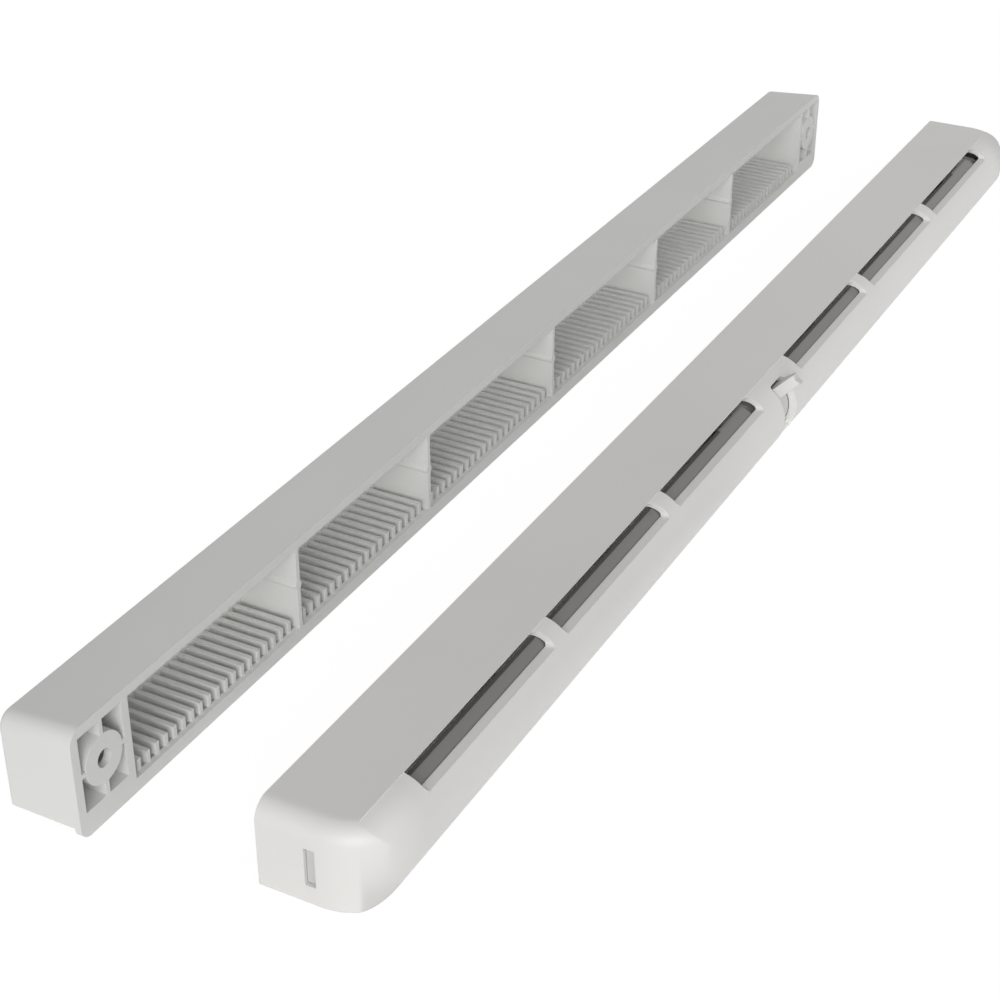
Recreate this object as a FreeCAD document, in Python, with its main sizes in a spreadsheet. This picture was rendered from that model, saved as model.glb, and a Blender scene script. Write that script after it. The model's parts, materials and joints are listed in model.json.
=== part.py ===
import FreeCAD, Part
import os
import re
import Sketcher
from types import SimpleNamespace
from FreeCAD import Rotation, Vector

# Window trickle vent: a slotted room-side vent with a rotary shutter, and a rain
# canopy for the outdoor side of the same window frame.
# Frame: origin at the centre of the vent's back face, +X along the vent,
# +Y outdoors, +Z up. The vent lies at Y < 0 and the canopy at Y > 0.

SIZES = {
    # How far cutting shapes reach past what they cut
    "clearance": 2.0,
    # Vent cover
    "cover_length": 405.4,
    "cover_height": 19.53,
    "cover_depth": 27.07,
    "cover_wall": 1.5,
    "end_plan_radius": 14.0,
    "plan_front_spare": 0.6,
    "end_top_radius": 4.25,
    "end_low_radius": 1.0,
    "corner_hollow_depth": 22.0,
    "corner_hollow_height": 10.0,
    "rib_thickness": 1.2,
    "rib_from": 5.8,
    "rib_to": 8.5,
    "rib_root": 0.5,
    # Outlet slots
    "slot_length": 53.0,
    "slot_pitch": 58.0,
    "slot_first": 12.6,
    "slot_back_depth": 19.35,
    "slot_ledge_height": 6.635,
    # Rotary shutters, turning about the axis of the half-round nose
    "shutter_radius": 8.0,
    "blade_thickness": 1.1,
    "blade_low_angle": 30.0,
    "blade_high_angle": 73.0,
    "shutter_length": 166.0,
    "unsealed_length": 14.5,
    "left_shutter_start": -181.5,
    "right_shutter_start": 9.5,
    "shutter_rib_first": 57.0,
    "shutter_rib_pitch": 58.0,
    "shutter_rib_thickness": 1.2,
    "shutter_rib_inner": 4.5,
    "shutter_end_thickness": 1.6,
    "shutter_hub_radius": 2.6,
    "shutter_hub_length": 9.4,
    "socket_side": 2.5,
    "socket_depth": 8.2,
    "peg_gap": 0.05,
    "peg_length": 8.0,
    # Shutter seals
    "seal_sweep": 5.5,
    "seal_seat": 0.4,
    "seal_seat_gap": 0.05,
    "seal_proud": 0.08,
    # Lever
    "lever_angle": 43.4,
    "lever_travel": 60.0,
    "hub_radius": 2.6,
    "drum_radius": 7.6,
    "drum_wall": 1.2,
    "drum_width": 7.7,
    "drum_low_angle": -40.0,
    "drum_high_angle": 53.5,
    "drum_web": 2.0,
    "tab_root_reach": 6.9,
    "tab_tip_reach": 15.4,
    "tab_above": 1.85,
    "tab_thickness": 2.95,
    "tab_root_width": 6.8,
    "tab_tip_width": 1.8,
    "tab_notch": 0.5,
    # Recess for the lever in the nose
    "recess_width": 8.2,
    "recess_high_angle": 59.8,
    "recess_spare_angle": 13.4,
    "recess_corner_radius": 1.2,
    "run_out_radius": 3.0,
    "run_out_depth": 0.75,
    "run_out_width": 6.7,
    # End pivots and bearings
    "pivot_radius": 1.5,
    "pivot_shoulder_radius": 2.0,
    "pivot_gap": 0.05,
    "pivot_tip": 0.6,
    "bearing_radius": 4.5,
    "bearing_thickness": 2.5,
    "bearing_tail": 5.2,
    "end_bearing_centre": 185.25,
    "centre_bearing_centre": 7.75,
    "post_root": 0.5,
    # Base plate and gasket
    "gasket_thickness": 1.0,
    "plate_thickness": 2.0,
    "plate_gap": 0.2,
    "duct_height": 9.6,
    "duct_wall": 1.2,
    "duct_collar": 2.5,
    "duct_centre_height": -1.2,
    "plate_screw_spacing": 384.0,
    "plate_screw_radius": 2.1,
    "plate_screw_head_radius": 4.0,
    "plate_boss_radius": 5.2,
    "plate_boss_height": 1.2,
    "plate_counterbore": 0.9,
    # Snap windows in the cover ends
    "window_depth_from": 10.37,
    "window_width": 2.33,
    "window_low": -4.965,
    "window_height": 8.65,
    "window_recess": 0.85,
    "tongue_gap": 0.12,
    "tongue_thickness": 1.3,
    # Friction spring
    "spring_thickness": 0.3,
    "spring_width": 2.0,
    "spring_gap": 0.3,
    "spring_centre": -10.2,
    "spring_foot_low": -7.6,
    "spring_foot_high": -3.2,
    "spring_pad_half": 1.8,
    # Canopy
    "canopy_length": 400.0,
    "canopy_height": 25.65,
    "canopy_fall": 1.5,
    "canopy_depth": 17.5,
    "canopy_offset": 36.73,
    "canopy_shift": -8.4,
    "canopy_top_wall": 2.25,
    "canopy_front_wall": 2.0,
    "canopy_underside": 2.9,
    "canopy_lip_height": 3.2,
    "canopy_lip_thickness": 1.5,
    "canopy_lip_turn": 2.8,
    "canopy_corner_radius": 3.5,
    "canopy_edge_radius": 1.2,
    "canopy_end_rim": 2.2,
    "bay_end": 182.5,
    "boss_box_start": 184.65,
    "boss_box_floor": 5.6,
    "boss_box_roof": 23.3,
    "fixing_spacing": 382.0,
    "fixing_height": 14.3,
    "fixing_hole_radius": 2.0,
    "fixing_head_radius": 4.0,
    "fixing_web": 1.7,
    "boss_radius": 5.6,
    "boss_web": 1.1,
    "boss_web_root": 0.5,
    # Canopy grille
    "fin_pitch": 3.0,
    "fin_thickness": 1.1,
    "fin_top": 6.1,
    "fin_setback": 1.1,
    "partition_thickness": 1.2,
    "partition_root": 0.3,
    "partition_inner": 66.0,
    "partition_outer": 123.0,
    "bead_radius": 1.1,
    # Screw caps
    "cap_thickness": 1.6,
    "cap_skirt": 2.4,
    "cap_skirt_wall": 0.8,
    "cap_gap": 0.08,
}

doc = FreeCAD.newDocument("window_trickle_vent")

# Driving dimensions
sheet = doc.addObject("Spreadsheet::Sheet", "dim")
for row, (alias, value) in enumerate(SIZES.items(), start=1):
    sheet.set(f"A{row}", alias.replace("_", " "))
    sheet.set(f"B{row}", str(value))
    sheet.setAlias(f"B{row}", alias)
doc.recompute()
s = SimpleNamespace(**{alias: float(sheet.get(alias)) for alias in SIZES})
fin_span = 2 * int(s.bay_end // s.fin_pitch) * s.fin_pitch
pieces = {}


# The half-round nose and the shutters share one axis, this far in front of the back
NOSE = "(cover_depth - cover_height / 2)"
NEAR = 0.01


def in_sheet(text):
    """Point each size named in an expression at its cell."""
    def cell(match):
        word = match.group(0)
        return "dim." + word if word in SIZES else word
    return re.sub(r"[a-z_]\w*", cell, text)


def bind(item, **expressions):
    for name, text in expressions.items():
        item.setExpression(name.replace("__", "."), in_sheet(text))


def number(text):
    return float(sheet.evalExpression(in_sheet(text)))


def new_body(name):
    body = doc.addObject("PartDesign::Body", name)
    body.Label = name
    pieces[name] = body
    return body


def new_sketch(body, name, role, offset=None):
    sketch = body.newObject("Sketcher::SketchObject", name)
    plane = [item for item in body.Origin.OriginFeatures if item.Role == role][0]
    sketch.AttachmentSupport = (plane, "")
    sketch.MapMode = "FlatFace"
    if offset:
        bind(sketch, AttachmentOffset__Base__z=offset)
    return sketch


def hold(sketch, kind, segment, vertex, text):
    """Hold a vertex of a sketch at its distance from the origin, along one axis."""
    index = sketch.addConstraint(Sketcher.Constraint(kind, -1, 1, segment, vertex, number(text)))
    sketch.setExpression(f"Constraints[{index}]", in_sheet(text))


def pin_point(sketch, segment, vertex, across, up):
    hold(sketch, "DistanceX", segment, vertex, across)
    hold(sketch, "DistanceY", segment, vertex, up)


def outline(sketch, corners):
    """Closed outline of lines and arcs. A corner is (across, up), or for an arc from
    that corner to the next (across, up, centre across, centre up, radius, turn)."""
    first = sketch.GeometryCount
    places = [Vector(number(corner[0]), number(corner[1]), 0) for corner in corners]
    ends = []
    for index, corner in enumerate(corners):
        start, stop = places[index], places[(index + 1) % len(corners)]
        if len(corner) == 2:
            sketch.addGeometry(Part.LineSegment(start, stop))
            ends.append((1, 2))
            continue
        centre = Vector(number(corner[2]), number(corner[3]), 0)
        circle = Part.Circle(centre, Vector(0, 0, 1), number(corner[4]))
        if corner[5] == "left":
            sketch.addGeometry(Part.ArcOfCircle(circle, circle.parameter(start), circle.parameter(stop)))
            ends.append((1, 2))
        else:
            sketch.addGeometry(Part.ArcOfCircle(circle, circle.parameter(stop), circle.parameter(start)))
            ends.append((2, 1))
    for index, corner in enumerate(corners):
        here = first + index
        following = first + (index + 1) % len(corners)
        next_start = ends[(index + 1) % len(corners)][0]
        joined = Sketcher.Constraint("Coincident", here, ends[index][1], following, next_start)
        sketch.addConstraint(joined)
        pin_point(sketch, here, ends[index][0], corner[0], corner[1])
        if len(corner) > 2:
            chord = places[(index + 1) % len(corners)] - places[index]
            upright = abs(chord.y) >= abs(chord.x)
            hold(sketch, "DistanceX" if upright else "DistanceY", here, 3, corner[2 if upright else 3])


def rectangle(sketch, left, right, low, high):
    outline(sketch, [(left, low), (right, low), (right, high), (left, high)])


def circle(sketch, across, up, radius):
    centre = Vector(number(across), number(up), 0)
    index = sketch.addGeometry(Part.Circle(centre, Vector(0, 0, 1), number(radius)))
    pin_point(sketch, index, 3, across, up)
    size = sketch.addConstraint(Sketcher.Constraint("Radius", index, number(radius)))
    sketch.setExpression(f"Constraints[{size}]", in_sheet(radius))


def pad(body, sketch, name, length, both_ways=False, backwards=False):
    feature = body.newObject("PartDesign::Pad", name)
    feature.Profile = sketch
    feature.Midplane = both_ways
    feature.Reversed = backwards
    bind(feature, Length=length)
    doc.recompute()
    return feature


def pocket(body, sketch, name, length, both_ways=False, backwards=False):
    """Cut a sketch away, and make sure that the cut removed material."""
    before = body.Shape.Volume
    feature = body.newObject("PartDesign::Pocket", name)
    feature.Profile = sketch
    feature.Midplane = both_ways
    feature.Reversed = backwards
    bind(feature, Length=length)
    doc.recompute()
    if feature.Shape.Volume >= before:
        raise RuntimeError(f"{name} cuts nothing")
    return feature


def primitive(kind, name, **expressions):
    item = doc.addObject(kind, name)
    bind(item, **expressions)
    return item


def box(name, low, high):
    """A block between two corners, each given by three expressions."""
    item = doc.addObject("Part::Box", name)
    sides = [f"({b}) - ({a})" for a, b in zip(low, high)]
    bind(item, Length=sides[0], Width=sides[1], Height=sides[2])
    for letter, text in zip("xyz", low):
        item.setExpression(f"Placement.Base.{letter}", in_sheet(text))
    return item


# A rod along X starts its turn at the room side and rises
ALONG_ROTOR = Rotation(Vector(0, -1, 0), Vector(0, 0, 1), Vector(-1, 0, 0), "XYZ")


def rod(name, radius, start, stop, turn_from=0.0, sweep="360"):
    """A cylinder about the rotor axis, or a sector of one, from start to stop along X."""
    item = doc.addObject("Part::Cylinder", name)
    bind(item, Radius=radius, Height=f"({stop}) - ({start})", Angle=sweep)
    item.Placement.Rotation = ALONG_ROTOR * Rotation(Vector(0, 0, 1), turn_from)
    bind(item, Placement__Base__x=stop, Placement__Base__y="-" + NOSE)
    return item


def join(name, items):
    item = doc.addObject("Part::MultiFuse", name)
    item.Shapes = items
    item.Refine = True
    return item


def cut(name, base, tool):
    item = doc.addObject("Part::Cut", name)
    item.Base = base
    item.Tool = tool
    return item


def keep(item, name):
    item.Label = name
    pieces[name] = item
    return item


def origin_item(body, role):
    return [item for item in body.Origin.OriginFeatures if item.Role == role][0]


def mirror(body, feature, name):
    """Repeat a feature on the other side of the middle of its body."""
    mirrored = body.newObject("PartDesign::Mirrored", name)
    mirrored.Originals = [feature]
    mirrored.MirrorPlane = (origin_item(body, "YZ_Plane"), [""])
    body.Tip = mirrored
    doc.recompute()
    return mirrored


def row_and_mirror(body, feature, name, length, count):
    """Repeat a feature in a row along X, and that row on the other side."""
    both = body.newObject("PartDesign::MultiTransform", name)
    both.Originals = [feature]
    line = body.newObject("PartDesign::LinearPattern", name + "_row")
    line.Direction = (origin_item(body, "X_Axis"), [""])
    line.Occurrences = count
    bind(line, Length=length)
    other = body.newObject("PartDesign::Mirrored", name + "_other_side")
    other.MirrorPlane = (origin_item(body, "YZ_Plane"), [""])
    both.Transformations = [line, other]
    body.Tip = both
    doc.recompute()
    return both


def fillet(body, name, radius, chosen):
    """Round the edges of the body that the test picks."""
    base = body.Tip
    names = []
    for index, edge in enumerate(base.Shape.Edges, start=1):
        middle = (edge.FirstParameter + edge.LastParameter) / 2
        if edge.Degenerated:
            continue
        if chosen(edge.valueAt(middle), edge.tangentAt(middle)):
            names.append(f"Edge{index}")
    feature = body.newObject("PartDesign::Fillet", name)
    feature.Base = (base, names)
    bind(feature, Radius=radius)
    doc.recompute()
    return feature


# Vent cover: a plate rounded in plan and at its edges, cut to a half-round nose
HALF = "cover_height / 2"
PLAN_START = "(cover_depth - end_plan_radius)"
PLAN_RADIUS = "(end_plan_radius + plan_front_spare)"
PLAN_CENTRE = "(cover_length / 2 - end_plan_radius - plan_front_spare)"
cover = new_body("vent_cover")
plan = new_sketch(cover, "cover_plan", "XY_Plane")
outline(plan, [
    ("-cover_length / 2", "0"),
    ("-cover_length / 2", f"-{PLAN_START}", f"-{PLAN_CENTRE}", f"-{PLAN_START}", PLAN_RADIUS, "left"),
    (f"-{PLAN_CENTRE}", "-cover_depth - plan_front_spare"),
    (PLAN_CENTRE, "-cover_depth - plan_front_spare", PLAN_CENTRE, f"-{PLAN_START}", PLAN_RADIUS, "left"),
    ("cover_length / 2", f"-{PLAN_START}"),
    ("cover_length / 2", "0"),
])
pad(cover, plan, "cover_plate", "cover_height", both_ways=True)


def plan_edge(side):
    def chosen(place, along):
        return side * place.z > s.cover_height / 2 - NEAR and place.y < -NEAR
    return chosen


fillet(cover, "cover_end_top_edge", "end_top_radius", plan_edge(1))
fillet(cover, "cover_end_low_edge", "end_low_radius", plan_edge(-1))
nose_cut = new_sketch(cover, "nose_outline", "YZ_Plane")
EDGE_HEIGHT = f"sqrt(({HALF})^2 - (slot_back_depth - {NOSE})^2)"
BEYOND = "(cover_height / 2 + clearance)"
IN_FRONT = "(cover_depth + plan_front_spare + clearance)"
outline(nose_cut, [
    ("-slot_back_depth", EDGE_HEIGHT, f"-{NOSE}", "0", HALF, "left"),
    (f"-{NOSE}", f"-{HALF}"),
    (f"-{NOSE}", f"-{BEYOND}"),
    (f"-{IN_FRONT}", f"-{BEYOND}"),
    (f"-{IN_FRONT}", BEYOND),
    ("-slot_back_depth", BEYOND),
])
pocket(cover, nose_cut, "half_round_nose", "cover_length + clearance", both_ways=True)

# Hollow: the back, the nose between the corners, and the rounded corners
INNER = "(cover_height / 2 - cover_wall)"
INNER_END = "(cover_length / 2 - cover_wall)"
INNER_TURN = "(end_top_radius - cover_wall)"
back_hollow = new_sketch(cover, "back_hollow_outline", "XZ_Plane")
outline(back_hollow, [
    (f"-{INNER_END}", f"-{INNER}"),
    (INNER_END, f"-{INNER}"),
    (INNER_END, f"{INNER} - {INNER_TURN}", f"{INNER_END} - {INNER_TURN}", f"{INNER} - {INNER_TURN}",
     INNER_TURN, "left"),
    (f"{INNER_END} - {INNER_TURN}", INNER),
    (f"-{INNER_END} + {INNER_TURN}", INNER, f"-{INNER_END} + {INNER_TURN}", f"{INNER} - {INNER_TURN}",
     INNER_TURN, "left"),
    (f"-{INNER_END}", f"{INNER} - {INNER_TURN}"),
])
pocket(cover, back_hollow, "back_hollow", PLAN_START, backwards=True)
nose_hollow = new_sketch(cover, "nose_hollow_section", "YZ_Plane")
outline(nose_hollow, [
    ("0", f"-{INNER}"),
    (f"-{NOSE}", f"-{INNER}", f"-{NOSE}", "0", INNER, "right"),
    (f"-{NOSE}", INNER),
    ("0", INNER),
])
pocket(cover, nose_hollow, "nose_hollow", "cover_length - 2 * end_plan_radius", both_ways=True)
CORNER_REACH = (f"(cover_length / 2 - end_plan_radius + sqrt((end_plan_radius - cover_wall)^2"
                f" - (corner_hollow_depth - {PLAN_START})^2))")
corner_hollow = new_sketch(cover, "corner_hollow_plan", "XY_Plane")
PLAN_TURN = ("cover_length / 2 - end_plan_radius", f"-{PLAN_START}", "end_plan_radius - cover_wall")
outline(corner_hollow, [
    (f"-{INNER_END}", "-gasket_thickness"),
    (f"-{INNER_END}", f"-{PLAN_START}", f"-({PLAN_TURN[0]})", PLAN_TURN[1], PLAN_TURN[2], "left"),
    (f"-{CORNER_REACH}", "-corner_hollow_depth"),
    (CORNER_REACH, "-corner_hollow_depth", PLAN_TURN[0], PLAN_TURN[1], PLAN_TURN[2], "left"),
    (INNER_END, f"-{PLAN_START}"),
    (INNER_END, "-gasket_thickness"),
])
pocket(cover, corner_hollow, "corner_hollow", "corner_hollow_height", both_ways=True)

# Ribs inside, under the bars between the slots
RIB_PLACE = "slot_first + slot_length + (slot_pitch - slot_length) / 2 - rib_thickness / 2"
rib_outline = new_sketch(cover, "rib_section", "YZ_Plane", RIB_PLACE)
ROOT = "(cover_height / 2 - cover_wall + rib_root)"
rectangle(rib_outline, "-rib_to", "-rib_from", f"-{ROOT}", ROOT)
rib = pad(cover, rib_outline, "rib", "rib_thickness")
row_and_mirror(cover, rib, "ribs", "slot_pitch", 2)

# Outlet slots: an undercut back edge, and a flat ledge in front
slot_section = new_sketch(cover, "slot_section", "YZ_Plane", "slot_first")
outline(slot_section, [
    (f"-slot_back_depth + {EDGE_HEIGHT} - slot_ledge_height", "slot_ledge_height"),
    (f"-{IN_FRONT}", "slot_ledge_height"),
    (f"-{IN_FRONT}", BEYOND),
    (f"-slot_back_depth + {EDGE_HEIGHT} - {BEYOND}", BEYOND),
])
slot = pocket(cover, slot_section, "slot", "slot_length", backwards=True)
row_and_mirror(cover, slot, "slots", "2 * slot_pitch", 3)



def polar(reach, angle):
    """A point about the nose axis, its angle measured up from the room side."""
    return f"-{NOSE} - ({reach}) * cos({angle})", f"({reach}) * sin({angle})"


def sector(sketch, inner, outer, low, high):
    outline(sketch, [
        (*polar(inner, high), f"-{NOSE}", "0", inner, "left"),
        polar(inner, low),
        (*polar(outer, low), f"-{NOSE}", "0", outer, "right"),
        polar(outer, high),
    ])


# Recess through the nose for the lever, with a shallow run-out below it
RECESS_LOW = "(lever_angle - lever_travel - recess_spare_angle)"
recess = new_sketch(cover, "lever_recess_section", "YZ_Plane")
sector(recess, f"{INNER} - cover_wall", BEYOND, RECESS_LOW, "recess_high_angle")
pocket(cover, recess, "lever_recess", "recess_width", both_ways=True)


def recess_corner(place, along):
    from_axis = Vector(0, place.y + number(NOSE), place.z)
    return abs(abs(place.x) - s.recess_width / 2) < NEAR and from_axis.cross(along).Length < NEAR


fillet(cover, "recess_corners", "recess_corner_radius", recess_corner)
run_out = new_sketch(cover, "run_out_section", "YZ_Plane")
circle(run_out, *polar("cover_height / 2 - run_out_depth + run_out_radius", RECESS_LOW), "run_out_radius")
pocket(cover, run_out, "recess_run_out", "run_out_width", both_ways=True)

# Snap windows in both ends
window = new_sketch(cover, "window_outline", "YZ_Plane", "cover_length / 2 - 2 * cover_wall")
rectangle(window, "-window_depth_from - window_width", "-window_depth_from", "window_low",
          "window_low + window_height")
window_cut = pocket(cover, window, "snap_window", "4 * cover_wall", backwards=True)
mirror(cover, window_cut, "snap_windows")

# Base plate: closes the back of the cover and carries the rotor
plate = new_body("base_plate")
plate_outline = new_sketch(plate, "plate_outline", "XZ_Plane", "gasket_thickness")
PLATE_END = f"({INNER_END} - plate_gap)"
PLATE_EDGE = f"({INNER} - plate_gap)"
PLATE_TURN = f"({INNER_TURN} - plate_gap)"
PLATE_TOP = f"{PLATE_EDGE} - {PLATE_TURN}"
PLATE_SHAPE = [
    (f"-{PLATE_END}", f"-{PLATE_EDGE}"),
    (PLATE_END, f"-{PLATE_EDGE}"),
    (PLATE_END, PLATE_TOP, f"{PLATE_END} - {PLATE_TURN}", PLATE_TOP, PLATE_TURN, "left"),
    (f"{PLATE_END} - {PLATE_TURN}", PLATE_EDGE),
    (f"-{PLATE_END} + {PLATE_TURN}", PLATE_EDGE, f"-{PLATE_END} + {PLATE_TURN}", PLATE_TOP, PLATE_TURN, "left"),
    (f"-{PLATE_END}", PLATE_TOP),
]
outline(plate_outline, PLATE_SHAPE)
pad(plate, plate_outline, "plate", "plate_thickness")

# Duct collars and the ducts through them, one behind each slot
DUCT_LOW = "duct_centre_height - duct_height / 2"
DUCT_HIGH = "duct_centre_height + duct_height / 2"
collar_outline = new_sketch(plate, "collar_outline", "XZ_Plane", "gasket_thickness + plate_thickness / 2")
rectangle(collar_outline, "slot_first - duct_wall", "slot_first + slot_length + duct_wall",
          f"{DUCT_LOW} - duct_wall", f"{DUCT_HIGH} + duct_wall")
collar = pad(plate, collar_outline, "collar", "plate_thickness / 2 + duct_collar")
row_and_mirror(plate, collar, "collars", "2 * slot_pitch", 3)
duct_outline = new_sketch(plate, "duct_outline", "XZ_Plane")
rectangle(duct_outline, "slot_first", "slot_first + slot_length", DUCT_LOW, DUCT_HIGH)
duct = pocket(plate, duct_outline, "duct", "2 * (gasket_thickness + plate_thickness + duct_collar)",
              both_ways=True)
row_and_mirror(plate, duct, "ducts", "2 * slot_pitch", 3)

# Screw bosses
boss_outline = new_sketch(plate, "screw_boss_outline", "XZ_Plane", "gasket_thickness + plate_thickness / 2")
head_outline = new_sketch(plate, "screw_head_outline", "XZ_Plane",
                          "gasket_thickness + plate_thickness + plate_boss_height - plate_counterbore")
screw_outline = new_sketch(plate, "screw_hole_outline", "XZ_Plane")
for side in ("-", ""):
    circle(boss_outline, f"{side}plate_screw_spacing / 2", "0", "plate_boss_radius")
    circle(head_outline, f"{side}plate_screw_spacing / 2", "0", "plate_screw_head_radius")
    circle(screw_outline, f"{side}plate_screw_spacing / 2", "0", "plate_screw_radius")
pad(plate, boss_outline, "screw_bosses", "plate_thickness / 2 + plate_boss_height")
pocket(plate, head_outline, "screw_heads", "plate_counterbore + clearance", backwards=True)
pocket(plate, screw_outline, "screw_holes", "4 * plate_thickness + 4 * plate_boss_height", both_ways=True)

# Posts that carry the bearings
post_outline = new_sketch(plate, "post_outline", "XZ_Plane",
                          "gasket_thickness + plate_thickness - post_root")
for centre in ("-end_bearing_centre", "-centre_bearing_centre", "centre_bearing_centre",
               "end_bearing_centre"):
    rectangle(post_outline, f"{centre} - bearing_thickness / 2", f"{centre} + bearing_thickness / 2",
              "-bearing_radius", "bearing_radius")
POST_REACH = f"{NOSE} - bearing_tail - gasket_thickness - plate_thickness + post_root"
pad(plate, post_outline, "bearing_posts", POST_REACH)

# Snap tongues that hook into the cover's end windows
tongue_outline = new_sketch(plate, "tongue_plan", "XY_Plane", "window_low + tongue_gap")
PLATE_FRONT = "(gasket_thickness + plate_thickness)"
TONGUE_TIP = "-window_depth_from - window_width"
for side in ("-", ""):
    outline(tongue_outline, [
        (f"{side}({PLATE_END} - tongue_thickness)", f"-{PLATE_FRONT} + post_root"),
        (f"{side}{PLATE_END}", f"-{PLATE_FRONT} + post_root"),
        (f"{side}{PLATE_END}", "-window_depth_from - tongue_gap"),
        (f"{side}(cover_length / 2 - window_recess)", "-window_depth_from - tongue_gap"),
        (f"{side}(cover_length / 2 - window_recess)", f"{TONGUE_TIP} + tongue_gap"),
        (f"{side}{PLATE_END}", f"{TONGUE_TIP} + tongue_gap"),
        (f"{side}({PLATE_END} - tongue_thickness / 2)", f"{TONGUE_TIP} - tongue_thickness"),
        (f"{side}({PLATE_END} - tongue_thickness)", f"{TONGUE_TIP} - tongue_thickness"),
    ])
pad(plate, tongue_outline, "snap_tongues", "window_height - 2 * tongue_gap")

# Foam gasket behind the base plate, flush with the back of the cover
gasket = new_body("frame_gasket")
gasket_outline = new_sketch(gasket, "gasket_outline", "XZ_Plane")
outline(gasket_outline, PLATE_SHAPE)
pad(gasket, gasket_outline, "gasket_strip", "gasket_thickness")
gasket_duct_outline = new_sketch(gasket, "gasket_duct_outline", "XZ_Plane")
rectangle(gasket_duct_outline, "slot_first", "slot_first + slot_length", DUCT_LOW, DUCT_HIGH)
gasket_duct = pocket(gasket, gasket_duct_outline, "gasket_duct", "3 * gasket_thickness", both_ways=True)
row_and_mirror(gasket, gasket_duct, "gasket_ducts", "2 * slot_pitch", 3)
gasket_screw_outline = new_sketch(gasket, "gasket_screw_outline", "XZ_Plane")
for side in ("-", ""):
    circle(gasket_screw_outline, f"{side}plate_screw_spacing / 2", "0", "plate_screw_radius")
pocket(gasket, gasket_screw_outline, "gasket_screw_holes", "3 * gasket_thickness", both_ways=True)


# Bearings: a ring on a tail that seats on its post
def bearing(name, centre, bore):
    low = f"{centre} - bearing_thickness / 2"
    high = f"{centre} + bearing_thickness / 2"
    ring = rod(name + "_ring", "bearing_radius", low, high)
    tail = box(name + "_tail", (low, f"-{NOSE}", "-bearing_radius"),
               (high, f"-{NOSE} + bearing_tail", "bearing_radius"))
    hole = rod(name + "_hole", bore, f"{centre} - bearing_thickness", f"{centre} + bearing_thickness")
    keep(cut(name, join(name + "_body", [ring, tail]), hole), name)


bearing("left_end_bearing", "-end_bearing_centre", "pivot_radius + pivot_gap")
bearing("right_end_bearing", "end_bearing_centre", "pivot_radius + pivot_gap")
bearing("left_centre_bearing", "-centre_bearing_centre", "hub_radius + pivot_gap")
bearing("right_centre_bearing", "centre_bearing_centre", "hub_radius + pivot_gap")


def square_peg(name, start, stop, side):
    """A square bar about the rotor axis."""
    half = f"({side}) / 2"
    return box(name, (start, f"-{NOSE} - {half}", f"-{half}"), (stop, f"-{NOSE} + {half}", half))


def ring(name, inner, outer, start, stop, turn_from, sweep):
    """A curved strip about the rotor axis."""
    return cut(name, rod(name + "_outer", outer, start, stop, turn_from, sweep),
               rod(name + "_inner", inner, start, stop))


# Shutters: the same moulding twice, each a curved blade with ribs inside and a web to a hub at
# both ends, a square socket in each hub, and a seal along the blade but for its right end
def shutter(name, start):
    stop = f"{start} + shutter_length"
    unsealed = f"{stop} - unsealed_length"
    inner = "shutter_radius - blade_thickness"
    blade_sweep = "blade_high_angle - blade_low_angle"
    whole_sweep = f"{blade_sweep} + seal_sweep"
    blade = ring(name + "_blade", inner, "shutter_radius", start, stop, s.blade_low_angle, blade_sweep)
    seat = ring(name + "_seal_seat", inner, f"{inner} + seal_seat", start, unsealed, s.blade_low_angle,
                whole_sweep)
    plain = ring(name + "_plain_end", inner, "shutter_radius", unsealed, stop, s.blade_low_angle, whole_sweep)
    hubs = [rod(name + "_near_hub", "shutter_hub_radius", start, f"{start} + shutter_hub_length"),
            rod(name + "_far_hub", "shutter_hub_radius", f"{stop} - shutter_hub_length", stop)]
    webs = [rod(name + "_near_web", "shutter_radius", start, f"{start} + shutter_end_thickness",
                s.blade_low_angle, whole_sweep),
            rod(name + "_far_web", "shutter_radius", f"{stop} - shutter_end_thickness", stop,
                s.blade_low_angle, whole_sweep)]
    ribs = []
    for index in range(2):
        place = f"{start} + shutter_rib_first + {index} * shutter_rib_pitch"
        ribs.append(ring(f"{name}_rib_{index + 1}", "shutter_rib_inner", "shutter_radius",
                         f"{place} - shutter_rib_thickness / 2", f"{place} + shutter_rib_thickness / 2",
                         s.blade_low_angle, whole_sweep))
    body = join(name + "_body", [blade, seat, plain] + hubs + webs + ribs)
    groove = ring(name + "_groove", f"{inner} + seal_seat", "shutter_radius + clearance", start, unsealed,
                  s.blade_high_angle, "seal_sweep")
    near_socket = square_peg(name + "_near_socket", f"{start} - clearance", f"{start} + socket_depth",
                             "socket_side")
    far_socket = square_peg(name + "_far_socket", f"{stop} - socket_depth", f"{stop} + clearance",
                            "socket_side")
    keep(cut(name, body, join(name + "_cuts", [groove, near_socket, far_socket])), name)
    keep(ring(name + "_seal", f"{inner} + seal_seat + seal_seat_gap", "shutter_radius + seal_proud", start,
              unsealed, s.blade_high_angle, "seal_sweep"), name + "_seal")


shutter("left_shutter", "left_shutter_start")
shutter("right_shutter", "right_shutter_start")

PEG = "socket_side - 2 * peg_gap"
LEFT_END = "left_shutter_start + shutter_length"


def along_lever(reach, side):
    """A point of the lever's section: its reach from the rotor axis, and its side, up and back."""
    return (f"-{NOSE} - ({reach}) * cos(lever_angle) + ({side}) * sin(lever_angle)",
            f"({reach}) * sin(lever_angle) + ({side}) * cos(lever_angle)")


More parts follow.
